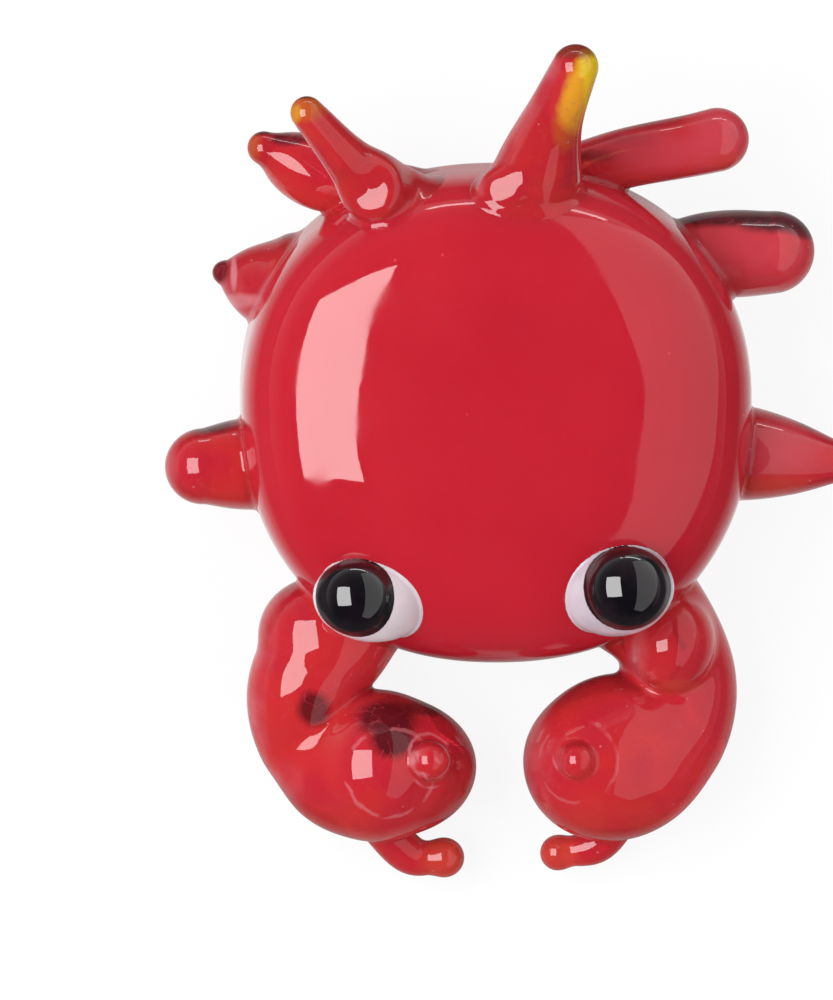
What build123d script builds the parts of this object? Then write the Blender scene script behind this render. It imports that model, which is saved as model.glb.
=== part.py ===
"""A lampwork glass crab, built the way it is made at the torch.

A gather of red glass is pressed into a cushion-shaped body, which leans a little towards its face
and stands on a flat belly. Drawn red rods are melted onto it as eight legs, the hind pair raised
over its back. Each claw is a shoulder stub, a curled arm, a fat palm, a finger that points up and a
thumb that ends in a bead. Each eye is a white egg with a flat black dot melted onto its raised end.
Nothing moves: every piece is fused to its neighbour, so each one is cut to the surface that carries
it and meets it face to face.

Units are millimetres. The origin is the middle of the flat belly, +Z is up, and the claws and eyes
face -Y. Places are shares of the body's half width, half length and whole thickness.
"""

import math
import os

from build123d import *

# Body
BODY_WIDTH = 30.6
BODY_LENGTH = 29.6
BODY_THICKNESS = 18.6
CENTRE_HEIGHT = 7.3
BODY_PITCH = 8.6
BODY_LEAN = 2.4
FRONT_TAPER_SHARE = 0.026
PLAN_EXPONENT = 2.24
SIDE_EXPONENT = 3.7
OUTLINE_POINTS = 24
RING_SHARES = (0.30, 0.47, 0.64, 0.79, 0.89, 0.95, 0.985)

# Legs
LEG_LENGTH = 10.0
LEG_THICKNESS = 5.8
LEG_TURN_ANGLES = {
    "left_front": -177.5,
    "left_middle": 173,
    "left_rear": 160,
    "left_hind": 137,
    "right_front": -5,
    "right_middle": 7.5,
    "right_rear": 17.6,
    "right_hind": 71,
}
LEG_LIFT_ANGLES = {
    "left_front": 10,
    "left_middle": -4,
    "left_rear": 0,
    "left_hind": 34,
    "right_front": 3,
    "right_middle": 3,
    "right_rear": 2,
    "right_hind": 38,
}
# Where each leg's rod starts inside the body
LEG_ROOT_SHARES = {
    "left_front": (-0.767, -0.199, 0.349),
    "left_middle": (-0.649, 0.519, 0.349),
    "left_rear": (-0.217, 0.808, 0.430),
    "left_hind": (-0.327, 0.785, 0.680),
    "right_front": (0.802, -0.150, 0.349),
    "right_middle": (0.606, 0.588, 0.349),
    "right_rear": (-0.016, 0.812, 0.430),
    "right_hind": (0.120, 0.785, 0.680),
}
LEG_REACH_SHARES = {
    "left_front": 0.82,
    "left_middle": 0.72,
    "left_rear": 1.23,
    "left_hind": 1.14,
    "right_front": 0.97,
    "right_middle": 1.00,
    "right_rear": 1.62,
    "right_hind": 1.29,
}
# Radii evenly spaced from the root to the round tip
LEG_TAPER_SHARES = {
    "left_front": (0.97, 1.00, 0.95, 0.80),
    "left_middle": (1.15, 1.15, 1.03, 0.70, 0.22),
    "left_rear": (0.80, 0.90, 0.92, 0.76, 0.42),
    "left_hind": (0.90, 0.70, 0.48, 0.36),
    "right_front": (1.00, 1.00, 0.80, 0.45),
    "right_middle": (1.08, 1.10, 1.06, 0.88, 0.50),
    "right_rear": (0.62, 0.67, 0.66, 0.64),
    "right_hind": (1.10, 0.90, 0.62, 0.50),
}
# How far the middle of each leg stands to the left of its straight line, seen from above
LEG_BOW_SHARES = {
    "left_front": 0.0,
    "left_middle": 0.0,
    "left_rear": 0.0,
    "left_hind": 0.03,
    "right_front": 0.0,
    "right_middle": 0.04,
    "right_rear": 0.045,
    "right_hind": 0.03,
}

# Claws
SHOULDER_THICKNESS = 5.0
ARM_THICKNESS = 7.0
PALM_LENGTH = 12.0
PALM_WIDTH = 9.0
PALM_DEPTH = 8.4
FINGER_THICKNESS = 2.4
THUMB_THICKNESS = 2.7
THUMB_BEAD_DIAMETER = 2.6
THUMB_TAPER_SHARES = (1.0, 0.95, 0.72)
THUMB_FORM_SHARES = {"left": 1.0, "right": 0.85}
SHOULDER_SHARES = {
    "left": ((-0.394, -0.697, 0.352), (-0.641, -0.807, 0.352)),
    "right": ((0.402, -0.751, 0.344), (0.653, -0.913, 0.344)),
}
ARM_SHARES = {
    "left": (
        (-0.434, -0.636, 0.323),
        (-0.562, -0.822, 0.323),
        (-0.736, -1.080, 0.296),
        (-0.728, -1.303, 0.269),
        (-0.591, -1.424, 0.269),
    ),
    "right": (
        (0.488, -0.615, 0.323),
        (0.625, -0.802, 0.323),
        (0.721, -1.061, 0.296),
        (0.679, -1.283, 0.280),
        (0.547, -1.413, 0.269),
    ),
}
PALM_SHARES = {"left": (-0.461, -1.433, 0.269), "right": (0.475, -1.393, 0.280)}
PALM_TURN_ANGLES = {"left": 0, "right": 15}
PALM_FORM_SHARES = {"left": (1.0, 1.0, 1.0), "right": (0.93, 1.12, 1.02)}
FINGER_SHARES = {
    "left": ((-0.265, -1.414, 0.302), (-0.259, -1.418, 0.512)),
    "right": ((0.325, -1.414, 0.302), (0.321, -1.418, 0.512)),
}
THUMB_SHARES = {
    "left": ((-0.484, -1.624, 0.183), (-0.338, -1.781, 0.128), (-0.202, -1.796, 0.129)),
    "right": ((0.507, -1.624, 0.183), (0.397, -1.747, 0.146), (0.245, -1.777, 0.123)),
}

# Eyes
EYE_LENGTH = 7.9
EYE_THICKNESS = 5.3
EYE_LIFT_ANGLE = 30
EYE_TURN_ANGLES = {"left": 178, "right": 3}
EYE_SHARES = {"left": (-0.480, -0.765, 0.700), "right": (0.474, -0.730, 0.705)}
EYE_FORM_SHARES = {"left": (1.0, 1.0), "right": (0.95, 1.09)}
PUPIL_DIAMETER = 4.6
PUPIL_THICKNESS = 3.6
PUPIL_RISE = 1.7
PUPIL_FORM_SHARES = {"left": 1.0, "right": 1.12}
PUPIL_OUTWARD_SHARES = {"left": 0.13, "right": 0.08}


def place(shares):
    """The point at these shares of the body's half width, half length and thickness."""
    across, along, up = shares
    return Vector(across * BODY_WIDTH / 2, along * BODY_LENGTH / 2, up * BODY_THICKNESS)


def direction(turn, lift):
    """The unit vector turned from +X towards +Y and lifted above the horizon, in degrees."""
    flat = math.cos(math.radians(lift))
    return Vector(
        flat * math.cos(math.radians(turn)),
        flat * math.sin(math.radians(turn)),
        math.sin(math.radians(lift)),
    )


def outside(piece, *carriers):
    """The piece less the solids that it is melted onto, as one solid."""
    for carrier in carriers:
        piece = piece - carrier
    return max(piece.solids(), key=lambda solid: solid.volume)


def body_ring(size_share, height):
    """The body's squarish round outline at one level, at a share of its full size."""
    points = []
    for step in range(OUTLINE_POINTS):
        angle = math.tau * step / OUTLINE_POINTS
        power = 2 / PLAN_EXPONENT
        along = math.copysign(abs(math.sin(angle)) ** power, math.sin(angle))
        across = math.copysign(abs(math.cos(angle)) ** power, math.cos(angle))
        across *= 1 + FRONT_TAPER_SHARE * along
        points.append(
            Vector(
                size_share * across * BODY_WIDTH / 2,
                size_share * along * BODY_LENGTH / 2,
                height,
            )
        )
    return Wire([Edge.make_spline(points, periodic=True)])


def make_body():
    """The pressed gather: a thick cushion, leaning, with the belly cut flat by the table."""
    levels = [
        BODY_THICKNESS / 2 * (1 - share**SIDE_EXPONENT) ** (1 / SIDE_EXPONENT)
        for share in RING_SHARES
    ]
    upper = list(zip(RING_SHARES, levels))
    lower = [(share, -level) for share, level in upper]
    rings = [body_ring(share, level) for share, level in (*lower, (1, 0), *reversed(upper))]
    leaning = Pos(0, 0, CENTRE_HEIGHT) * Rot(BODY_PITCH, BODY_LEAN, 0) * Solid.make_loft(rings)
    return split(leaning, Plane.XY, keep=Keep.TOP).solid()


def rod(points, radii, round_tip=True):
    """A round rod along a smooth line through the points, its radii evenly spaced along it."""
    spine = Spline(*points) if len(points) > 2 else Line(*points)
    sections = []
    for step, radius in enumerate(radii):
        share = step / (len(radii) - 1)
        along = spine % share
        level = along.cross(Vector(0, 0, 1)).normalized()
        sections.append(Plane(spine @ share, x_dir=level, z_dir=along) * Circle(radius))
    shaft = loft(sections)
    return shaft + Pos(*(spine @ 1)) * Sphere(radii[-1]) if round_tip else shaft


def even(thickness, points):
    """The radii of a rod of one thickness, one for each of its points."""
    return [thickness / 2 for _ in points]


def egg(sizes):
    """An egg of three sizes."""
    return scale(Sphere(1), tuple(size / 2 for size in sizes))


def make_leg(name, body):
    """A drawn leg from inside the body to its round tip."""
    radii = [share * LEG_THICKNESS / 2 for share in LEG_TAPER_SHARES[name]]
    aim = direction(LEG_TURN_ANGLES[name], LEG_LIFT_ANGLES[name])
    left = Vector(0, 0, 1).cross(aim).normalized()
    length = LEG_REACH_SHARES[name] * LEG_LENGTH - radii[-1]
    root = place(LEG_ROOT_SHARES[name])
    middle = root + aim * (length / 2) + left * (LEG_BOW_SHARES[name] * length)
    return outside(rod([root, middle, root + aim * length], radii), body)


def make_claw(side, body):
    """The five pieces of one claw, each cut to the ones that carry it."""
    palm_sizes = zip(PALM_FORM_SHARES[side], (PALM_LENGTH, PALM_WIDTH, PALM_DEPTH))
    palm_egg = egg(share * size for share, size in palm_sizes)
    palm = (Pos(*place(PALM_SHARES[side])) * Rot(0, 0, PALM_TURN_ANGLES[side]) * palm_egg).solid()
    shoulder_ends = [place(shares) for shares in SHOULDER_SHARES[side]]
    shoulder = outside(rod(shoulder_ends, even(SHOULDER_THICKNESS, shoulder_ends)), body, palm)
    arm_points = [place(shares) for shares in ARM_SHARES[side]]
    arm_rod = rod(arm_points, even(ARM_THICKNESS, arm_points), round_tip=False)
    arm = outside(arm_rod, body, shoulder, palm)
    finger_points = [place(shares) for shares in FINGER_SHARES[side]]
    finger = outside(rod(finger_points, even(FINGER_THICKNESS, finger_points)), palm)
    thumb_size = THUMB_FORM_SHARES[side]
    thumb_points = [place(shares) for shares in THUMB_SHARES[side]]
    bead_radius = thumb_size * THUMB_BEAD_DIAMETER / 2
    bead = (Pos(*thumb_points[-1]) * Sphere(bead_radius)).solid()
    thumb_radii = [
        thumb_size * share * THUMB_THICKNESS / 2 for share in THUMB_TAPER_SHARES
    ]
    thumb = outside(rod(thumb_points, thumb_radii), palm, bead)
    return {
        f"claw_{side}_shoulder": shoulder,
        f"claw_{side}_arm": arm,
        f"claw_{side}_palm": palm,
        f"claw_{side}_finger": finger,
        f"claw_{side}_thumb": thumb,
        f"claw_{side}_thumb_bead": bead,
    }


def make_eye(side, body):
    """The white egg, half sunk in the body, and the flat black dot on top of its raised end."""
    length_share, thickness_share = EYE_FORM_SHARES[side]
    thickness = thickness_share * EYE_THICKNESS
    turn = EYE_TURN_ANGLES[side]
    centre = place(EYE_SHARES[side])
    white_egg = egg((length_share * EYE_LENGTH, thickness, thickness))
    white = outside(Pos(*centre) * Rot(0, 0, turn) * Rot(0, -EYE_LIFT_ANGLE, 0) * white_egg, body)
    size = PUPIL_FORM_SHARES[side]
    out = direction(turn, 0) * (PUPIL_OUTWARD_SHARES[side] * EYE_LENGTH)
    dot_sizes = (PUPIL_DIAMETER, PUPIL_DIAMETER, PUPIL_THICKNESS)
    dot = Pos(*(centre + out)) * Pos(0, 0, size * PUPIL_RISE) * egg(size * length for length in dot_sizes)
    return {f"eye_{side}_white": white, f"eye_{side}_pupil": outside(dot, white, body)}


def make_parts():
    """Every piece by its name."""
    body = make_body()
    parts = {"body": body}
    for name in LEG_TURN_ANGLES:
        parts[f"leg_{name}"] = make_leg(name, body)
    for side in ("left", "right"):
        parts.update(make_claw(side, body))
        parts.update(make_eye(side, body))
    return parts


os.makedirs("parts", exist_ok=True)
for part_name, solid in make_parts().items():
    export_step(solid, f"parts/{part_name}.step")
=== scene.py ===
import math

import bpy
import numpy as np
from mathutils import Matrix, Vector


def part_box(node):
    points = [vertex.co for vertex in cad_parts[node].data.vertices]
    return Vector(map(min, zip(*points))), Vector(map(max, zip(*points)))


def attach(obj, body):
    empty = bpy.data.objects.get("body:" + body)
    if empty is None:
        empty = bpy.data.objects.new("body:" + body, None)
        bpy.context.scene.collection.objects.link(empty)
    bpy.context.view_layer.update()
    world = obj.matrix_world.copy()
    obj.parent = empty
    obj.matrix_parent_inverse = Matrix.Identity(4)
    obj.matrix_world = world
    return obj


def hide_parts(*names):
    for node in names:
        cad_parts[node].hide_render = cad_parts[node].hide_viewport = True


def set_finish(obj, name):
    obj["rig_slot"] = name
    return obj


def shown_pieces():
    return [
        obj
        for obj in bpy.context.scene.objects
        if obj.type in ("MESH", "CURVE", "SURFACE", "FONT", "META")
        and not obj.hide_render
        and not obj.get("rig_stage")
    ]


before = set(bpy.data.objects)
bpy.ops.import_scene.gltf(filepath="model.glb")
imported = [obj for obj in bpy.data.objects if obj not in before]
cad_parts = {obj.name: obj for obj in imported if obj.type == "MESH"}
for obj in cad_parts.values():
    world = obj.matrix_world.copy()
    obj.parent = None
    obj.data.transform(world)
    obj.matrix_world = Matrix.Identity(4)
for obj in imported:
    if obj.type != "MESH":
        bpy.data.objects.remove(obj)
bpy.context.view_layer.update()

import openvdb
from mathutils import Matrix, Vector

# The looks of a small glass crab made at the torch: a deep red body, clear red limbs melted onto
# it, white eyes and black dots. Shapes are worked out in millimetres and written in metres.
MM = 0.001

# Body, in millimetres and degrees as in the part's source: its size, middle and tilt, how far it
# narrows to the front, how square its outlines are, how softly its belly is rounded, how uneven it
# is, and how many rings and spokes its mesh has
BODY_SIZE = np.array((30.6, 29.6, 18.6))
BODY_CENTRE = np.array((0, 0, 7.3))
BODY_PITCH = 8.6
BODY_LEAN = 2.4
FRONT_TAPER_SHARE = 0.026
PLAN_EXPONENT = 2.24
SIDE_EXPONENT = 3.7
BELLY_ROUNDING = 0.7
BODY_WOBBLE = 0.035
BODY_RINGS = 160
BODY_SPOKES = 288

# Legs: where the rod starts, its turn and lift in degrees, its reach in millimetres, its radii and
# how far its middle bows. The start is in shares of the body, the radii of half the legs'
# thickness and the bow of the leg's length
LEG_THICKNESS = 5.8
LEGS = {
    "left_front": ((-0.767, -0.199, 0.349), -177.5, 10, 8.2, (0.97, 1.00, 0.95, 0.80), 0.0),
    "left_middle": ((-0.649, 0.519, 0.349), 173, -4, 7.2, (1.15, 1.15, 1.06, 0.74, 0.27), 0.06),
    "left_rear": ((-0.217, 0.808, 0.430), 160, 5, 12.3, (0.80, 0.72, 0.56, 0.46, 0.36), 0.0),
    "left_hind": ((-0.327, 0.785, 0.680), 137, 34, 11.4, (0.90, 0.70, 0.48, 0.36), 0.03),
    "right_front": ((0.802, -0.150, 0.349), -5, 3, 9.7, (1.00, 1.00, 0.80, 0.45), 0.0),
    "right_middle": ((0.606, 0.588, 0.349), 7.5, 3, 10.0, (0.88, 0.88, 0.92, 0.93, 0.88), 0.04),
    "right_rear": ((-0.016, 0.812, 0.430), 17.6, 2, 16.2, (0.64, 0.65, 0.64, 0.70), 0.045),
    "right_hind": ((0.120, 0.785, 0.680), 71, 38, 12.9, (1.10, 0.90, 0.62, 0.50), 0.03),
}

# Swellings on the legs: the middle and the size in millimetres, the turn in degrees, and how far
# above the middle the top is flat, and which way the flat tops face
FLAT_FACING = np.array((-0.278, 0.010, 0.960))
SWELLINGS = {
    "left_rear": ((-10.9, 14.4, 8.0), (6.8, 4.4, 4.6), 153, 3.0),
    "left_middle": ((-13.6, 7.9, 6.1), (5.4, 4.6, 4.4), 0, 3.0),
    "left_hind": ((-7.3, 13.1, 15.3), (4.2, 4.3, 5.2), 0, 1.45),
    "right_hind": ((0.4, 13.0, 15.2), (3.1, 2.9, 4.8), 0, 1.5),
}

# Claws: places are shares of the body's half width, half length and thickness, radii and domes
# are in millimetres, and the forms are factors on the palm's and the thumb's sizes
SHOULDER_RADIUS = 2.5
PALM_SIZE = np.array((12.0, 9.0, 8.4))
FINGER_RADIUS = 1.2
THUMB_RADII = np.array((1.35, 1.28, 0.97))
BEAD_RADIUS = 1.3
CLAWS = {
    "left": {
        "shoulder": ((-0.394, -0.697, 0.352), (-0.641, -0.807, 0.352)),
        "arm": (
            (-0.434, -0.636, 0.323),
            (-0.562, -0.822, 0.323),
            (-0.736, -1.080, 0.296),
            (-0.728, -1.303, 0.235),
            (-0.591, -1.424, 0.225),
        ),
        "arm_radii": (3.25, 3.45, 3.58, 3.30, 3.10),
        "domes": (((-10.2, -13.4, 6.2), (8.2, 7.6, 6.9)), ((-7.0, -21.1, 5.3), (8.6, 9.2, 9.6))),
        "palm": (-0.461, -1.433, 0.269),
        "palm_turn": 0,
        "palm_form": (1.0, 1.0, 1.0),
        "finger": ((-0.265, -1.414, 0.302), (-0.259, -1.418, 0.512)),
        "thumb": ((-0.484, -1.624, 0.183), (-0.338, -1.781, 0.128), (-0.202, -1.796, 0.129)),
        "thumb_form": 1.0,
    },
    "right": {
        "shoulder": ((0.402, -0.751, 0.344), (0.653, -0.913, 0.344)),
        "arm": (
            (0.488, -0.615, 0.323),
            (0.625, -0.802, 0.323),
            (0.721, -1.061, 0.245),
            (0.679, -1.283, 0.238),
            (0.547, -1.413, 0.225),
        ),
        "arm_radii": (3.10, 3.25, 3.45, 3.65, 3.55),
        "domes": (((10.6, -13.8, 7.3), (5.2, 6.4, 6.6)), ((6.4, -21.0, 5.4), (9.4, 9.0, 9.0))),
        "palm": (0.475, -1.393, 0.280),
        "palm_turn": 15,
        "palm_form": (0.93, 1.12, 1.02),
        "finger": ((0.325, -1.414, 0.302), (0.321, -1.418, 0.512)),
        "thumb": ((0.507, -1.624, 0.183), (0.397, -1.747, 0.146), (0.245, -1.777, 0.123)),
        "thumb_form": 0.85,
    },
}

# Eyes: each white egg's centre, turn and form, then the black dot's form and outward shift, the
# shift as a share of the egg's length
EYE_SIZE = np.array((7.9, 5.3, 5.3))
EYE_LIFT = 30
PUPIL_SIZE = np.array((4.6, 4.6, 3.6))
PUPIL_RISE = 1.7
EYES = {
    "left": ((-0.480, -0.765, 0.700), 178, (1.0, 1.0, 1.0), 1.0, 0.13),
    "right": ((0.474, -0.730, 0.705), 3, (0.95, 1.09, 1.09), 1.12, 0.08),
}

# Melting: how far a limb's root spreads over the body, and how softly two pieces run together
ROOT_MELT = 0.28
HORN_MELT = 0.5
SHOULDER_MELT = 0.4
PIECE_MELT = 0.7
BEAD_MELT = 0.35
EYE_MELT = 0.12

# The slow unevenness of glass shaped by hand: its waves in radians per millimetre with their
# starts, its height, and how far it is moved inwards as a share of that height
WAVES = (
    ((0.55, 0.20, 0.35), 0.4),
    ((-0.25, 0.60, 0.15), 2.1),
    ((0.30, -0.35, 0.70), 4.0),
    ((0.80, 0.75, -0.40), 1.3),
)
WOBBLE = 0.09
WOBBLE_INWARD = 0.7

# Steps, in millimetres, of the grids that surfaces are worked out on, and the least number that
# others are divided by
GRID_STEP = 0.3
EYE_GRID_STEP = 0.2
LEAST = 0.01

# Camera: the picture and the body's middle in pixels, a pixel in millimetres, the view's
# elevation in degrees, the camera's distance in metres and its sensor in millimetres
IMAGE_WIDTH, IMAGE_HEIGHT = 833, 1000
PIXEL = 0.06
BODY_PIXEL = (495.5, 412.5)
VIEW_ELEVATION = 88
CAMERA_DISTANCE = 2.0
SENSOR = 36.0

# Lights: places from the body's middle and sizes in millimetres, the directions of their sides,
# and how bright each looks
SOFTBOX = {
    "centre": (-214, 8, 338),
    "across": (0.864, 0.046, 0.502),
    "along": (-0.096, 0.993, 0.073),
    "width": 260,
    "length": 328,
    "radiance": 6.6,
}
SIDE_PANEL = {
    "centre": (260, -177, 247),
    "across": (0.767, -0.126, -0.629),
    "along": (-0.103, 0.943, -0.315),
    "width": 320,
    "length": 1124,
    "radiance": 0.7,
}
REAR_STRIP = {
    "centre": (48, 392, 66),
    "across": (0.9925, -0.122, 0.0),
    "along": (0.020, 0.164, -0.986),
    "width": 268,
    "length": 24,
    "radiance": 6.0,
}

# Floor: its half width in metres, its drop in millimetres and its colour, how much of its own
# white it shows, and how its mirror image and its glow fade: from and to how many millimetres
# away or aside, and from and to which strength
FLOOR_HALF = 1.5
FLOOR_DROP = 0.02
FLOOR_ROUGHNESS = 0.8
FLOOR_PALE = (0.85, 0.85, 0.85, 1)
FLOOR_SEEN = 0.9
FLOOR_MIRRORED = (22, 38, 0.50, 0.03)
FLOOR_GLOW_AWAY = (17, 27, 0.85, 0.0)
FLOOR_GLOW_ASIDE = (9, 15, 0.15, 1.0)

# Studio: its greys by height, how its front is dimmed, and its even grey for all that isn't a
# mirror image
STUDIO_GREYS = ((0.0, 0.7), (0.35, 0.16), (0.8, 0.03))
STUDIO_FRONT = (-0.6, 0.7, 0.1, 1.0)
STUDIO_EVEN = (0.4, 0.4, 0.4, 1)
NO_LIGHT = (0, 0, 0, 1)
FULL_LIGHT = (1, 1, 1, 1)

# How each glass takes the light, its inward scattering in metres, and how rough the best polished
# places are
BODY_GLASS = {
    "IOR": 1.6,
    "Subsurface Weight": 0.3,
    "Subsurface Radius": (1.0, 0.15, 0.15),
    "Subsurface Scale": 0.002,
}
LIMB_GLASS = {"IOR": 1.55, "Transmission Weight": 0.4}
WHITE_GLASS = {
    "Subsurface Weight": 0.3,
    "Subsurface Radius": (1.0, 0.8, 0.8),
    "Subsurface Scale": 0.0006,
}
BLACK_GLASS = {"IOR": 1.75}
POLISHED = 0.015

# Colours of the glass, the pairs for the darker and the lighter patches
BODY_REDS = ((0.438, 0.0125, 0.025, 1), (0.48, 0.0162, 0.0295, 1))
# The eye whites: painted lighter for the left eye, which lies in shade, and darker for the right
# eye, which is in the light
LEFT_WHITES_PAINTED_LIGHTER = ((0.63, 0.53, 0.57, 1), (0.72, 0.64, 0.67, 1))
RIGHT_WHITES_PAINTED_DARKER = ((0.49, 0.405, 0.46, 1), (0.58, 0.50, 0.555, 1))
BLACKS = ((0.005, 0.004, 0.006, 1), (0.012, 0.007, 0.010, 1))
BUBBLE_PINK = (0.75, 0.30, 0.33, 1)
RED = (0.60, 0.022, 0.042, 1)
WARM_RED = (0.67, 0.032, 0.036, 1)
PINK_RED = (0.66, 0.066, 0.092, 1)
AMBER = (0.92, 0.44, 0.03, 1)
YELLOW = (0.98, 0.70, 0.02, 1)
ORANGE = (0.66, 0.14, 0.025, 1)
CORAL = (0.66, 0.060, 0.044, 1)
# A pale pink, for painted light
PALE_PINK = (0.88, 0.34, 0.38, 1)
BROWN = (0.22, 0.045, 0.018, 1)
MAROON = (0.10, 0.008, 0.014, 1)
# A near black, for painted shade
DARK_SHADE = (0.060, 0.020, 0.024, 1)

# Patches: the tips' own colours, and painted shade and painted light on the limbs. Each spot's
# middle and half sizes in millimetres, its colour and its strength
TIP_COLOURS_AND_PAINTED_SHADE_AND_LIGHT = (
    # The hind legs' tips in their own orange, amber and yellow, browner along the top, and the left
    # rear leg's orange tip
    ((-11.3, 18.0, 18.4), (1.2, 1.0, 4.0), ORANGE, 0.9),
    ((-12.0, 17.4, 18.4), (0.40, 0.55, 4.0), AMBER, 0.65),
    ((-11.1, 18.7, 18.6), (1.4, 0.40, 3.0), BROWN, 0.9),
    ((4.1, 16.6, 17.0), (0.75, 1.3, 5.0), ORANGE, 0.6),
    ((4.5, 17.6, 18.0), (0.80, 1.2, 5.0), AMBER, 0.8),
    ((4.9, 18.5, 18.6), (0.90, 1.2, 5.0), AMBER, 0.9),
    ((5.3, 19.4, 19.2), (0.95, 1.2, 5.0), AMBER, 0.9),
    ((5.8, 20.2, 19.7), (0.95, 1.0, 4.0), YELLOW, 1.0),
    ((5.6, 18.6, 18.6), (0.40, 1.5, 4.0), YELLOW, 0.8),
    ((4.7, 21.2, 20.0), (1.6, 0.60, 3.0), BROWN, 0.75),
    ((-14.8, 15.9, 8.0), (0.8, 1.0, 3.5), ORANGE, 0.6),
    # Painted shade: a dark band along the top of the left rear leg and its tip
    ((-14.1, 17.0, 8.0), (1.1, 0.45, 3.0), DARK_SHADE, 0.95),
    ((-12.4, 16.3, 8.5), (1.1, 0.45, 3.0), MAROON, 0.85),
    # The left middle leg's tip ball, darker
    ((-16.6, 8.6, 6.0), (0.65, 0.85, 3.0), MAROON, 0.75),
    # Painted light: pale pink along the left middle leg's lower edge, where light comes through
    ((-15.7, 8.3, 6.5), (0.20, 1.0, 3.0), PALE_PINK, 0.7),
    ((-15.2, 6.7, 6.0), (1.5, 0.45, 3.5), PALE_PINK, 0.6),
    # Painted shade: dark along the top of the left front leg
    ((-17.0, -0.8, 7.0), (1.6, 0.60, 3.5), DARK_SHADE, 0.85),
    # Painted shade: dark along the top of the right rear leg
    ((6.2, 15.3, 8.5), (1.6, 0.38, 3.0), MAROON, 0.75),
    ((8.4, 16.2, 8.5), (1.6, 0.38, 3.0), MAROON, 0.7),
    # Painted light on the right rear leg: paler pink where the side panel's light shows in the
    # glass, and coral along its lower edge where light gathers
    ((13.5, 16.4, 8.5), (2.0, 2.4, 4.0), PINK_RED, 0.9),
    ((9.4, 15.6, 8.5), (3.4, 1.2, 4.0), PINK_RED, 0.8),
    ((14.0, 14.9, 8.5), (1.3, 0.60, 3.5), CORAL, 0.8),
    # Painted light: paler pink on the right middle leg, where the side panel's light shows in the
    # glass
    ((14.7, 9.7, 6.8), (5.2, 2.2, 4.0), PINK_RED, 0.8),
    # Painted shade: dark along the top of the right middle leg
    ((13.2, 11.8, 7.0), (3.4, 0.75, 4.5), DARK_SHADE, 0.95),
    ((16.8, 11.5, 7.2), (2.8, 0.80, 4.5), DARK_SHADE, 0.95),
    ((18.6, 10.9, 7.2), (0.9, 0.60, 3.5), DARK_SHADE, 0.8),
    # Painted light on the right front leg: paler pink where the side panel's light shows in the
    # glass, and coral along its lower edge where light gathers
    ((16.4, -2.2, 7.0), (2.8, 1.8, 4.0), PINK_RED, 0.8),
    ((16.2, -4.4, 6.0), (3.2, 0.80, 4.0), CORAL, 0.8),
    # Painted shade: dark along the top of the right front leg
    ((19.8, -0.6, 7.0), (1.6, 0.50, 3.0), DARK_SHADE, 0.7),
    # Painted shade: dark patches in the left arm and palm, where the clear glass shows dark
    # surroundings
    ((-10.9, -17.8, 8.0), (1.0, 1.0, 3.0), MAROON, 0.90),
    ((-6.5, -18.4, 8.8), (1.75, 1.15, 4.0), MAROON, 0.98),
    ((-6.2, -19.7, 9.6), (1.25, 1.1, 3.0), MAROON, 0.98),
    ((-4.0, -17.7, 7.8), (1.8, 0.50, 3.5), MAROON, 0.85),
    # The thumbs' beads, in their own coral
    ((-3.1, -26.7, 2.4), (1.5, 1.5, 2.0), CORAL, 0.9),
    ((3.8, -26.4, 2.3), (1.3, 1.3, 2.0), CORAL, 0.9),
    # Painted light: a coral glow in the right arm, where light is bent through the glass
    ((11.0, -16.5, 8.5), (1.4, 0.40, 2.5), CORAL, 0.9),
)

# Painted refraction: thin pale and dark rings painted where round forms show through the clear
# glass; the middle and the radius in millimetres, the colour and the strength
PAINTED_REFRACTION_RINGS = (
    ((-3.6, -20.9, 9.0), 1.75, PALE_PINK, 0.45),
    ((-6.4, -21.6, 8.6), 2.7, PALE_PINK, 0.35),
    ((4.5, -20.8, 9.0), 1.0, PALE_PINK, 0.4),
    ((4.9, -21.0, 9.0), 2.5, PALE_PINK, 0.22),
    ((9.6, -14.2, 9.0), 2.1, MAROON, 0.3),
)
PAINTED_RING_THICKNESS = 0.13
PATCH_EDGE = 0.28
EDGE_RAGGEDNESS = 0.36

# Painted light and shade on the limbs' sides: darker where they face back, coral where they face
# forward and right, pale pink where they face left. The axis that a side faces, how far it has to
# face it for none and for all of the tint, the tint's strength and its colour
PAINTED_SIDE_LIGHT_AND_SHADE = (
    ("Y", 0.60, 0.95, 0.55, MAROON),
    ("Y", -0.30, -0.90, 0.55, CORAL),
    ("X", -0.60, -0.98, 0.45, PALE_PINK),
    ("X", 0.70, 1.00, 0.35, CORAL),
)


def place(shares):
    """The point, in millimetres, at shares of the body's half width, half length and thickness."""
    return np.array(shares) * BODY_SIZE * (0.5, 0.5, 1)


def direction(turn, lift):
    """The unit vector turned from +X towards +Y and lifted above the horizon, in degrees."""
    turn, lift = math.radians(turn), math.radians(lift)
    return np.array(
        (math.cos(lift) * math.cos(turn), math.cos(lift) * math.sin(turn), math.sin(lift))
    )


def body_tilt():
    """The body's own axes, as columns: pitched about X and leaning about Y."""
    pitch = Matrix.Rotation(math.radians(BODY_PITCH), 3, "X")
    lean = Matrix.Rotation(math.radians(BODY_LEAN), 3, "Y")
    return np.array(pitch @ lean)


# Fields: each gives a point's distance outside a form, in millimetres


def wobble(points):
    """The slow unevenness of glass shaped by hand."""
    heights = [np.sin(points @ np.array(wave) + start) for wave, start in WAVES]
    return sum(heights) / len(WAVES)


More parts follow.
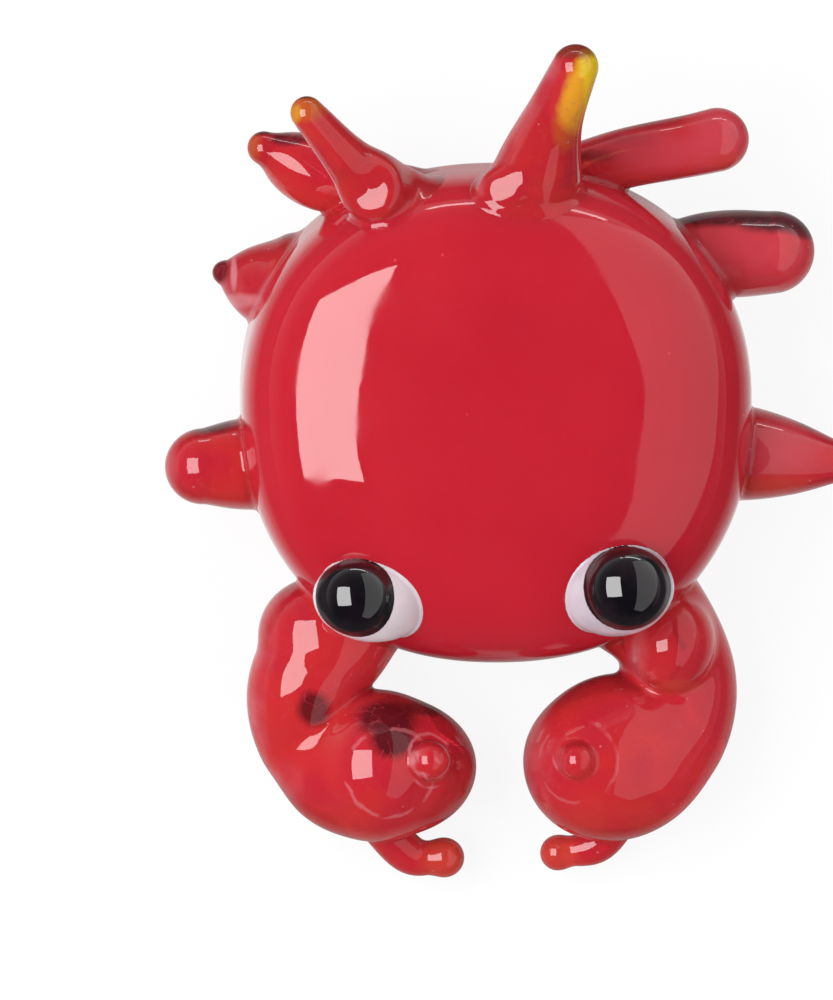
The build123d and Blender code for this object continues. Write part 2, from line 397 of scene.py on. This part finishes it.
def smooth_curve(values, at):
    """The places on a smooth curve through the values, at these shares of its length."""
    values = np.asarray(values, float)
    steps = len(values) - 1
    padded = np.concatenate([[2 * values[0] - values[1]], values, [2 * values[-1] - values[-2]]])
    start = np.minimum((at * steps).astype(int), steps - 1)
    t = (at * steps - start).reshape(-1, *[1] * (values.ndim - 1))
    a, b, c, d = (padded[start + step] for step in range(4))
    return (
        b
        + t * (c - a) / 2
        + t**2 * (a - 2.5 * b + 2 * c - d / 2)
        + t**3 * (1.5 * (b - c) + (d - a) / 2)
    )


def nearest_on(spine, points, along, step=0.02):
    """The shares of the curve's length nearest the points, bettered from a first guess."""
    for _ in range(2):
        before, middle, after = (smooth_curve(spine, along + shift) for shift in (-step, 0, step))
        run = (after - before) / (2 * step)
        bend = (after - 2 * middle + before) / step**2
        away = points - middle
        steepness = (run * run).sum(1)
        growth = np.maximum(steepness - (away * bend).sum(1), steepness / 4)
        along = np.clip(along + (away * run).sum(1) / growth, 0, 1)
    return along


def rod_field(spine, radii, samples=25):
    """A round rod along a smooth line, its radii evenly spaced along it, with round ends."""
    marks = np.linspace(0, 1, samples)
    line = smooth_curve(spine, marks)
    girth = smooth_curve(radii, marks)

    def field(points):
        nearest = np.full(len(points), np.inf)
        along = np.zeros(len(points))
        for step, (start, end) in enumerate(zip(line, line[1:])):
            run = end - start
            share = np.clip((points - start) @ run / (run @ run), 0, 1)
            gap = np.linalg.norm(points - start - share[:, None] * run, axis=1)
            gap -= girth[step] + share * (girth[step + 1] - girth[step])
            closer = gap < nearest
            nearest[closer] = gap[closer]
            along[closer] = step + share[closer]
        along = nearest_on(spine, points, along / (samples - 1))
        middle = smooth_curve(spine, along)
        return np.linalg.norm(points - middle, axis=1) - smooth_curve(radii, along)

    return field


def egg_field(centre, size, turn=0, lift=0):
    """An egg of three sizes, turned about the vertical, its first axis lifted above the horizon."""
    half = np.asarray(size) / 2
    along = direction(turn, lift)
    across = direction(turn + 90, 0)
    axes = np.stack((along, across, np.cross(along, across)), axis=1)

    def field(points):
        local = (points - centre) @ axes
        reach = np.linalg.norm(local / half, axis=1)
        slope = np.linalg.norm(local / half**2, axis=1)
        return reach * (reach - 1) / np.maximum(slope, 1e-9)

    return field


def blend(first, second, width):
    """Two forms run together with a soft crease this wide."""

    def field(points):
        a, b = first(points), second(points)
        return np.minimum(a, b) - np.maximum(width - np.abs(a - b), 0) ** 2 / (4 * width)

    return field


def pressed(form, middle, height, width):
    """A form pressed flat at this height over its middle, with a soft edge this wide."""

    def field(points):
        a, b = form(points), (points - middle) @ FLAT_FACING - height
        return np.maximum(a, b) + np.maximum(width - np.abs(a - b), 0) ** 2 / (4 * width)

    return field


def body_field(points):
    """The body, near its surface."""
    local = (points - BODY_CENTRE) @ body_tilt() / (BODY_SIZE / 2)
    local[:, 0] /= 1 + FRONT_TAPER_SHARE * np.clip(local[:, 1], -1, 1)
    size = np.abs(local)
    plan = size[:, 0] ** PLAN_EXPONENT + size[:, 1] ** PLAN_EXPONENT
    power = SIDE_EXPONENT / PLAN_EXPONENT
    reach = (plan**power + size[:, 2] ** SIDE_EXPONENT) ** (1 / SIDE_EXPONENT)
    reach = np.maximum(reach, LEAST)
    level = plan ** (power - 1)
    grown = np.stack(
        (
            level * size[:, 0] ** (PLAN_EXPONENT - 1),
            level * size[:, 1] ** (PLAN_EXPONENT - 1),
            size[:, 2] ** (SIDE_EXPONENT - 1),
        ),
        axis=1,
    )
    grown = np.linalg.norm(grown / (BODY_SIZE / 2), axis=1) * reach ** (1 - SIDE_EXPONENT)
    return (reach - 1) / np.maximum(grown, LEAST)


def melted_on(form, carrier, spread):
    """A slightly uneven form whose root spreads out over the surface that carries it."""

    def field(points):
        height = np.clip(carrier(points) / spread, 0, 1)
        return form(points) - spread * (1 - height) ** 3 + WOBBLE * (wobble(points) + WOBBLE_INWARD)

    return field


# Meshes


def slope(field, points, step=0.02):
    """The direction in which the field grows, at each point."""
    shifts = np.eye(3) * step
    grown = [(field(points + shift) - field(points - shift)) / (2 * step) for shift in shifts]
    return np.stack(grown, axis=1)


def settle(field, points, rounds=4, least_steepness=0.04):
    """The points moved onto the surface where the field is zero."""
    for _ in range(rounds):
        grown = slope(field, points)
        steepness = np.maximum((grown**2).sum(1), least_steepness)
        points = points - grown * (field(points) / steepness)[:, None]
    return points


def make_piece(name, points, faces, nodes, slot):
    """A smooth closed piece that stands for CAD nodes, from points in millimetres."""
    mesh = bpy.data.meshes.new(name)
    mesh.from_pydata((points * MM).tolist(), [], [list(face) for face in faces])
    mesh.validate()
    mesh.shade_smooth()
    piece = bpy.data.objects.new(name, mesh)
    bpy.context.scene.collection.objects.link(piece)
    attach(piece, "root")
    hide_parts(*nodes)
    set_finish(piece, slot)
    return piece


def skin(field, low, high, step):
    """The points and faces of the surface where the field is zero, inside a box."""
    margin = 3 * step
    axes = [np.arange(start - margin, end + margin, step) for start, end in zip(low, high)]
    cells = np.stack(np.meshgrid(*axes, indexing="ij"), axis=-1)
    values = field(cells.reshape(-1, 3)).reshape(cells.shape[:3])
    grid = openvdb.FloatGrid(float(margin))
    grid.copyFromArray(values.astype(np.float32))
    points, faces = grid.convertToQuads()
    points = np.asarray(points, float) * step + cells[0, 0, 0]
    return points, np.asarray(faces)


def finer(points, faces, field):
    """Each face split in four, with its points settled back onto the field's surface."""
    mesh = bpy.data.meshes.new("rough")
    mesh.from_pydata(points.tolist(), [], faces.tolist())
    rough = bpy.data.objects.new("rough", mesh)
    bpy.context.scene.collection.objects.link(rough)
    rough.modifiers.new("split", "SUBSURF").levels = 1
    found = rough.evaluated_get(bpy.context.evaluated_depsgraph_get()).to_mesh()
    points = np.array([vertex.co for vertex in found.vertices], float)
    faces = np.array([list(face.vertices) for face in found.polygons])
    bpy.data.objects.remove(rough)
    bpy.data.meshes.remove(mesh)
    return settle(field, points), faces


def form_piece(name, field, low, high, nodes, slot, step=GRID_STEP):
    """The piece whose surface is where the field is zero."""
    points, faces = skin(field, low, high, step)
    points = settle(field, points)
    points, faces = finer(points, faces, field)
    return make_piece(name, points, faces, nodes, slot)


# Pieces


def squarish(angles, exponent):
    """The points of a squarish circle at these angles."""
    cos, sin = np.cos(angles), np.sin(angles)
    size = (np.abs(cos) ** exponent + np.abs(sin) ** exponent) ** (-1 / exponent)
    return cos * size, sin * size


def make_body():
    """The pressed gather, with the edge of its flat belly rounded by the flame."""
    lifts = np.linspace(-math.pi / 2, math.pi / 2, BODY_RINGS)[1:-1]
    turns = np.linspace(0, math.tau, BODY_SPOKES, endpoint=False)
    across, along = squarish(turns, PLAN_EXPONENT)
    across = across * (1 + FRONT_TAPER_SHARE * along)
    size, rise = squarish(lifts, SIDE_EXPONENT)
    grid = np.stack(
        [
            size[:, None] * across,
            size[:, None] * along,
            np.repeat(rise[:, None], BODY_SPOKES, axis=1),
        ],
        axis=-1,
    ).reshape(-1, 3)
    points = np.concatenate([grid, ((0, 0, -1), (0, 0, 1))]) * BODY_SIZE / 2
    outward = points / np.linalg.norm(points, axis=1)[:, None]
    points += outward * BODY_WOBBLE * wobble(points)[:, None]
    points = points @ body_tilt().T + BODY_CENTRE
    # The part below the table is pushed up flat, with a soft edge
    low = points[:, 2]
    soft = np.maximum(BELLY_ROUNDING - np.abs(low), 0) ** 2 / (4 * BELLY_ROUNDING)
    points[:, 2] = np.maximum(low, 0) + soft
    rows = len(lifts)
    last = (rows - 1) * BODY_SPOKES
    faces = []
    for spoke in range(BODY_SPOKES):
        after = (spoke + 1) % BODY_SPOKES
        for row in range(0, last, BODY_SPOKES):
            above = row + BODY_SPOKES
            faces.append((row + spoke, row + after, above + after, above + spoke))
        faces.append((after, spoke, rows * BODY_SPOKES))
        faces.append((last + spoke, last + after, rows * BODY_SPOKES + 1))
    return make_piece("body_glass", points, faces, ["body"], "red_glass_body")


def make_leg(name):
    """A drawn leg, its root melted onto the body."""
    root, turn, lift, reach, taper, bow = LEGS[name]
    radii = np.array(taper) * LEG_THICKNESS / 2
    aim = direction(turn, lift)
    left = np.cross((0, 0, 1), aim)
    left /= np.linalg.norm(left)
    length = reach - radii[-1]
    start = place(root)
    spine = [start, start + aim * length / 2 + left * bow * length, start + aim * length]
    melt = HORN_MELT if name.endswith("hind") else ROOT_MELT
    form = rod_field(spine, radii)
    if name in SWELLINGS:
        middle, size, swelling_turn, flat_height = SWELLINGS[name]
        swelling = egg_field(middle, size, swelling_turn)
        form = blend(form, pressed(swelling, middle, flat_height, PIECE_MELT), PIECE_MELT)
    field = melted_on(form, body_field, melt)
    ends = np.array(spine)
    margin = radii.max() + 2 * melt
    low, high = ends.min(0) - margin, ends.max(0) + margin
    return form_piece(f"leg_{name}_glass", field, low, high, [f"leg_{name}"], "red_glass_limbs")


def make_claw(side):
    """One claw: its six pieces of clear red glass run together."""
    claw = CLAWS[side]
    shoulder = rod_field([place(p) for p in claw["shoulder"]], [SHOULDER_RADIUS] * 2, samples=3)
    arm_spine = [place(p) for p in claw["arm"]]
    arm = rod_field(arm_spine, claw["arm_radii"])
    palm = egg_field(place(claw["palm"]), PALM_SIZE * claw["palm_form"], claw["palm_turn"])
    finger = rod_field([place(p) for p in claw["finger"]], [FINGER_RADIUS] * 2, samples=3)
    thumb_spine = [place(p) for p in claw["thumb"]]
    thumb = rod_field(thumb_spine, THUMB_RADII * claw["thumb_form"], samples=13)
    bead_size = [2 * BEAD_RADIUS * claw["thumb_form"]] * 3
    bead = egg_field(thumb_spine[-1], bead_size)
    form = blend(blend(arm, palm, PIECE_MELT), shoulder, SHOULDER_MELT)
    for middle, size in claw["domes"]:
        form = blend(form, egg_field(middle, size), SHOULDER_MELT)
    form = blend(form, finger, BEAD_MELT)
    form = blend(form, blend(thumb, bead, BEAD_MELT), BEAD_MELT)
    parts = ("shoulder", "arm", "palm", "finger", "thumb", "thumb_bead")
    nodes = [f"claw_{side}_{part}" for part in parts]
    corners = np.array([np.array(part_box(node)) / MM for node in nodes])
    return form_piece(
        f"claw_{side}_glass",
        melted_on(form, body_field, ROOT_MELT),
        corners[:, 0].min(0) - PIECE_MELT,
        corners[:, 1].max(0) + PIECE_MELT,
        nodes,
        "red_glass_limbs",
    )


def make_eye(side):
    """The white egg melted onto the body, and the black dot melted onto the egg."""
    shares, turn, form, dot_form, outward_share = EYES[side]
    centre = place(shares)
    egg = egg_field(centre, EYE_SIZE * form, turn, EYE_LIFT)
    white = melted_on(egg, body_field, EYE_MELT)
    dot_centre = centre + direction(turn, 0) * outward_share * EYE_SIZE[0]
    dot_centre[2] += dot_form * PUPIL_RISE
    dot = melted_on(egg_field(dot_centre, PUPIL_SIZE * dot_form), white, BEAD_MELT / 2)
    for kind, slot, field, middle, size in (
        ("white", "white_glass", white, centre, EYE_SIZE * form),
        ("pupil", "black_glass", dot, dot_centre, PUPIL_SIZE * dot_form),
    ):
        name = f"eye_{side}_{kind}"
        margin = size.max() / 2 + PIECE_MELT
        low, high = middle - margin, middle + margin
        form_piece(f"{name}_glass", field, low, high, [name], slot, EYE_GRID_STEP)


# Materials


def node_adder(tree):
    """A helper that adds a node to a tree, with its inputs set or linked."""

    def add(kind, inputs=None, **settings):
        node = tree.nodes.new(kind)
        for key, value in settings.items():
            setattr(node, key, value)
        for key, value in (inputs or {}).items():
            if isinstance(value, bpy.types.NodeSocket):
                tree.links.new(value, node.inputs[key])
            else:
                node.inputs[key].default_value = value
        return node

    return add


def new_material(name, settings):
    """A material with these settings, its shader, its helper for nodes and its links."""
    material = bpy.data.materials.new(name)
    material.use_nodes = True
    tree = material.node_tree
    shader = tree.nodes["Principled BSDF"]
    for key, value in settings.items():
        shader.inputs[key].default_value = value
    return material, shader, node_adder(tree), tree.links


def vectors(add, operation, *inputs, result="Vector", **named):
    """One sum or measure of vectors."""
    inputs = {**dict(enumerate(inputs)), **named}
    return add("ShaderNodeVectorMath", inputs, operation=operation).outputs[result]


def axis_of(add, vector, axis):
    """One part of a vector."""
    return add("ShaderNodeSeparateXYZ", {"Vector": vector}).outputs[axis]


def in_millimetres(add):
    """The place on the piece, in millimetres."""
    spot = add("ShaderNodeTexCoord").outputs["Object"]
    return vectors(add, "SCALE", spot, Scale=1 / MM)


def cloud(add, at, size, detail=2.0, distortion=0.0):
    """A soft cloud from 0 to 1, with patches of about this size in millimetres."""
    settings = {"Vector": at, "Scale": 1 / size, "Detail": detail, "Distortion": distortion}
    return add("ShaderNodeTexNoise", settings).outputs["Fac"]


def between(add, value, start, end, low=0.0, high=1.0):
    """A value carried from one range to another, held at its ends."""
    ends = {"Value": value, "From Min": start, "From Max": end, "To Min": low, "To Max": high}
    return add("ShaderNodeMapRange", ends).outputs["Result"]


def mixed(add, share, first, second):
    """Two colours mixed by a share."""
    inputs = {"Fac": share, "Color1": first, "Color2": second}
    return add("ShaderNodeMixRGB", inputs).outputs["Color"]


def maths(add, operation, first, second=0.0):
    """One sum."""
    return add("ShaderNodeMath", {0: first, 1: second}, operation=operation).outputs["Value"]


def tinted(add, colour, tint, share, strength):
    """The colour with a tint laid over it by a share, at most this strongly."""
    return mixed(add, maths(add, "MULTIPLY", share, strength), colour, tint)


def soft_patch(add, at, ragged, middle, size):
    """How much of a soft-edged patch lies at each place, from 0 to 1."""
    shares = vectors(add, "DIVIDE", vectors(add, "SUBTRACT", at, middle), size)
    reach = vectors(add, "LENGTH", shares, result="Value")
    return between(add, maths(add, "ADD", reach, ragged), 1 + PATCH_EDGE, 1 - PATCH_EDGE)


def painted_ring(add, at, ragged, middle, radius):
    """A thin broken ring painted around a spot, as the refraction of round forms inside clear glass
    shows, from 0 to 1.
    """
    reach = vectors(add, "LENGTH", vectors(add, "SUBTRACT", at, middle), result="Value")
    gap = maths(add, "ABSOLUTE", maths(add, "SUBTRACT", maths(add, "ADD", reach, ragged), radius))
    broken = between(add, cloud(add, at, size=1.6, detail=1.0), start=0.48, end=0.56)
    return maths(add, "MULTIPLY", between(add, gap, PAINTED_RING_THICKNESS, PAINTED_RING_THICKNESS / 3), broken)


def bubbles(add, at, spacing, size, rarity):
    """Tiny round bubbles just under the surface, from 0 to 1."""
    cells = add("ShaderNodeTexVoronoi", {"Vector": at, "Scale": 1 / spacing})
    seen = between(add, cells.outputs["Distance"], size, size / 2)
    picked = add("ShaderNodeSeparateColor", {"Color": cells.outputs["Color"]}).outputs["Red"]
    return maths(add, "MULTIPLY", seen, maths(add, "GREATER_THAN", picked, rarity))


def wisps(add, at, size, thickness):
    """Fine drawn-out threads of paler glass, from 0 to 1."""
    middle = maths(add, "SUBTRACT", cloud(add, at, size, distortion=1.6), 0.5)
    return between(add, maths(add, "ABSOLUTE", middle), start=thickness, end=0.0)


def rippled(add, links, shader, at, size, depth, dullest=0.05, dull_edge=0.0):
    """The surface's fine ripples, its slightly uneven polish and the dullness of its edge."""
    height = cloud(add, at, size, detail=3.0)
    bump = add("ShaderNodeBump", {"Height": height, "Strength": 1.0, "Distance": depth * MM})
    links.new(bump.outputs["Normal"], shader.inputs["Normal"])
    patches = cloud(add, at, size, detail=3.0, distortion=0.5)
    polish = between(add, patches, start=0.38, end=0.68, low=POLISHED, high=dullest)
    upward = axis_of(add, add("ShaderNodeTexCoord").outputs["Normal"], "Z")
    edge = between(add, upward, start=0.75, end=0.30, high=dull_edge)
    links.new(maths(add, "ADD", polish, edge), shader.inputs["Roughness"])


def painted_side_light_and_shade(add, at, colour):
    """The colour with painted light and shade on the clear limbs' sides, by the way each side
    faces.
    """
    facing = add("ShaderNodeTexCoord").outputs["Normal"]
    side = add("ShaderNodeSeparateXYZ", {"Vector": facing})
    uneven = between(add, cloud(add, at, size=2.6), start=0.40, end=0.60, low=0.35)
    for axis, start, end, strength, tint in PAINTED_SIDE_LIGHT_AND_SHADE:
        share = between(add, side.outputs[axis], start, end, high=strength)
        colour = tinted(add, colour, tint, share, uneven)
    return colour


def red_body_material():
    """The body's deep red glass, nearly opaque, with a few tiny bubbles."""
    material, shader, add, links = new_material("red_glass_body", BODY_GLASS)
    at = in_millimetres(add)
    tone = between(add, cloud(add, at, size=9.0, detail=3.0), start=0.3, end=0.7)
    colour = mixed(add, tone, *BODY_REDS)
    bubbly = bubbles(add, at, spacing=1.5, size=0.085, rarity=0.84)
    colour = tinted(add, colour, PINK_RED, bubbly, strength=0.8)
    links.new(colour, shader.inputs["Base Color"])
    rippled(add, links, shader, at, size=3.5, depth=0.016, dullest=0.11)
    return material


def red_limb_material():
    """The limbs' clear red glass, with painted light and shade on its sides, its tips' colours,
    patches of painted shade and light, painted refraction rings, threads and bubbles.
    """
    material, shader, add, links = new_material("red_glass_limbs", LIMB_GLASS)
    at = in_millimetres(add)
    patches = cloud(add, at, size=3.5, detail=3.0, distortion=0.6)
    tone = between(add, patches, start=0.35, end=0.65)
    # Painted light and shade on the sides, by the way each side faces
    colour = painted_side_light_and_shade(add, at, mixed(add, tone, RED, WARM_RED))
    ragged = maths(add, "SUBTRACT", cloud(add, at, size=0.9, detail=3.0), 0.5)
    ragged = maths(add, "MULTIPLY", ragged, EDGE_RAGGEDNESS)
    # The tips' own colours, and patches of painted shade and painted light
    for middle, size, patch_colour, strength in TIP_COLOURS_AND_PAINTED_SHADE_AND_LIGHT:
        share = soft_patch(add, at, ragged, middle, size)
        colour = tinted(add, colour, patch_colour, share, strength)
    # Painted refraction rings, pale and dark
    for middle, radius, ring_colour, strength in PAINTED_REFRACTION_RINGS:
        share = painted_ring(add, at, ragged, middle, radius)
        colour = tinted(add, colour, ring_colour, share, strength)
    threads = wisps(add, at, size=2.6, thickness=0.010)
    colour = tinted(add, colour, PINK_RED, threads, strength=0.35)
    bubbly = bubbles(add, at, spacing=0.9, size=0.10, rarity=0.72)
    colour = tinted(add, colour, BUBBLE_PINK, bubbly, strength=0.6)
    links.new(colour, shader.inputs["Base Color"])
    rippled(add, links, shader, at, size=2.2, depth=0.015)
    return material


def white_material():
    """The eyes' white glass, painted lighter in the left eye against its shade and darker in the
    right one, which is in the light.
    """
    material, shader, add, links = new_material("white_glass", WHITE_GLASS)
    at = in_millimetres(add)
    tone = between(add, cloud(add, at, size=2.5, detail=3.0), start=0.35, end=0.65)
    side = between(add, axis_of(add, at, "X"), start=-2.0, end=2.0)
    # Painted lighter for the left eye, which lies in shade, and darker for the right one, which is
    # in the light
    left_painted_lighter = mixed(add, tone, *LEFT_WHITES_PAINTED_LIGHTER)
    right_painted_darker = mixed(add, tone, *RIGHT_WHITES_PAINTED_DARKER)
    links.new(mixed(add, side, left_painted_lighter, right_painted_darker), shader.inputs["Base Color"])
    rippled(add, links, shader, at, size=2.0, depth=0.01)
    return material


def black_material():
    """The dots' black glass, duller at its edge."""
    material, shader, add, links = new_material("black_glass", BLACK_GLASS)
    at = in_millimetres(add)
    tone = between(add, cloud(add, at, size=2.0), start=0.45, end=0.7)
    links.new(mixed(add, tone, *BLACKS), shader.inputs["Base Color"])
    rippled(add, links, shader, at, size=2.5, depth=0.008, dullest=0.04, dull_edge=0.35)
    return material


# Stage


def add_camera():
    """The photograph's view: from almost straight above, through a long lens."""
    elevation = math.radians(VIEW_ELEVATION)
    back = Vector((0, -math.cos(elevation), math.sin(elevation)))
    up = Vector((0, math.sin(elevation), math.cos(elevation)))
    across = (IMAGE_WIDTH / 2 - BODY_PIXEL[0]) * PIXEL * MM
    above = (BODY_PIXEL[1] - IMAGE_HEIGHT / 2) * PIXEL * MM
    target = Vector((BODY_CENTRE * MM).tolist()) + Vector((1, 0, 0)) * across + up * above
    data = bpy.data.cameras.new("camera")
    data.sensor_width = SENSOR
    data.lens = SENSOR * CAMERA_DISTANCE / (IMAGE_HEIGHT * PIXEL * MM)
    data.clip_start = CAMERA_DISTANCE / 100
    camera = bpy.data.objects.new("camera", data)
    camera.location = target + back * CAMERA_DISTANCE
    axes = Matrix((Vector((1, 0, 0)), up, back)).transposed()
    camera.rotation_mode = "QUATERNION"
    camera.rotation_quaternion = axes.to_quaternion()
    bpy.context.scene.collection.objects.link(camera)
    bpy.context.scene.camera = camera


def add_panel(name, panel):
    """A flat light that faces the crab, this bright when it is looked at."""
    width, length = panel["width"] * MM, panel["length"] * MM
    data = bpy.data.lights.new(name, "AREA")
    data.shape = "RECTANGLE"
    data.size = width
    data.size_y = length
    data.energy = panel["radiance"] * math.pi * width * length
    light = bpy.data.objects.new(name, data)
    light.location = Vector(((BODY_CENTRE + panel["centre"]) * MM).tolist())
    across, along = Vector(panel["across"]), Vector(panel["along"])
    axes = Matrix((across, along, across.cross(along))).transposed()
    light.rotation_mode = "QUATERNION"
    light.rotation_quaternion = axes.to_quaternion()
    bpy.context.scene.collection.objects.link(light)


def add_floor():
    """A floor that is white to the eye, and in the glass bright by the crab and dim far off."""
    mesh = bpy.data.meshes.new("floor")
    sides = ((-1, -1), (1, -1), (1, 1), (-1, 1))
    corners = [(x * FLOOR_HALF, y * FLOOR_HALF, 0) for x, y in sides]
    mesh.from_pydata(corners, [], [(0, 1, 2, 3)])
    floor = bpy.data.objects.new("floor", mesh)
    floor.location.z = -FLOOR_DROP * MM
    bpy.context.scene.collection.objects.link(floor)
    floor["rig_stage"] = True
    material, shader, add, links = new_material("pale_floor", {"Roughness": FLOOR_ROUGHNESS})
    path = add("ShaderNodeLightPath").outputs
    at = in_millimetres(add)
    away = vectors(add, "LENGTH", at, result="Value")
    mirrored = between(add, away, *FLOOR_MIRRORED)
    pale = mixed(add, path["Is Glossy Ray"], FLOOR_PALE, mirrored)
    links.new(pale, shader.inputs["Base Color"])
    seen = maths(add, "MAXIMUM", path["Is Camera Ray"], path["Is Transmission Ray"])
    aside = maths(add, "ABSOLUTE", axis_of(add, at, "X"))
    beside = between(add, aside, *FLOOR_GLOW_ASIDE)
    beside = maths(add, "MULTIPLY", beside, between(add, away, *FLOOR_GLOW_AWAY))
    glow = maths(add, "MULTIPLY", path["Is Glossy Ray"], beside)
    seen = maths(add, "MAXIMUM", maths(add, "MULTIPLY", seen, FLOOR_SEEN), glow)
    white = add("ShaderNodeEmission", {"Strength": 1.0}).outputs["Emission"]
    inputs = {"Fac": seen, 1: shader.outputs["BSDF"], 2: white}
    both = add("ShaderNodeMixShader", inputs).outputs["Shader"]
    links.new(both, material.node_tree.nodes["Material Output"].inputs["Surface"])
    mesh.materials.append(material)


def add_world():
    """A white backdrop to the eye, and a dim studio with a dark ceiling and front to the glass."""
    world = bpy.data.worlds.new("studio")
    bpy.context.scene.world = world
    world.use_nodes = True
    add = node_adder(world.node_tree)
    facing = add("ShaderNodeTexCoord").outputs["Generated"]
    ramp = add("ShaderNodeValToRGB", {"Fac": axis_of(add, facing, "Z")})
    stops = ramp.color_ramp.elements
    for number, (height, grey) in enumerate(STUDIO_GREYS):
        stop = stops[number] if number < len(stops) else stops.new(height)
        stop.position = height
        stop.color = (grey, grey, grey, 1)
    front = between(add, axis_of(add, facing, "Y"), *STUDIO_FRONT)
    studio = mixed(add, front, NO_LIGHT, ramp.outputs["Color"])
    path = add("ShaderNodeLightPath").outputs
    studio = mixed(add, path["Is Glossy Ray"], STUDIO_EVEN, studio)
    backdrop = mixed(add, path["Is Camera Ray"], studio, FULL_LIGHT)
    background = world.node_tree.nodes["Background"]
    world.node_tree.links.new(backdrop, background.inputs["Color"])


add_camera()
add_world()
add_floor()
add_panel("softbox", SOFTBOX)
add_panel("side_panel", SIDE_PANEL)
add_panel("rear_strip", REAR_STRIP)

make_body()
for leg_name in LEGS:
    make_leg(leg_name)
for side_name in CLAWS:
    make_claw(side_name)
    make_eye(side_name)

finishes = {
    "red_glass_body": red_body_material(),
    "red_glass_limbs": red_limb_material(),
    "white_glass": white_material(),
    "black_glass": black_material(),
}
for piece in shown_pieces():
    piece.data.materials.clear()
    piece.data.materials.append(finishes[piece["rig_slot"]])

bpy.context.scene.view_settings.view_transform = "Standard"
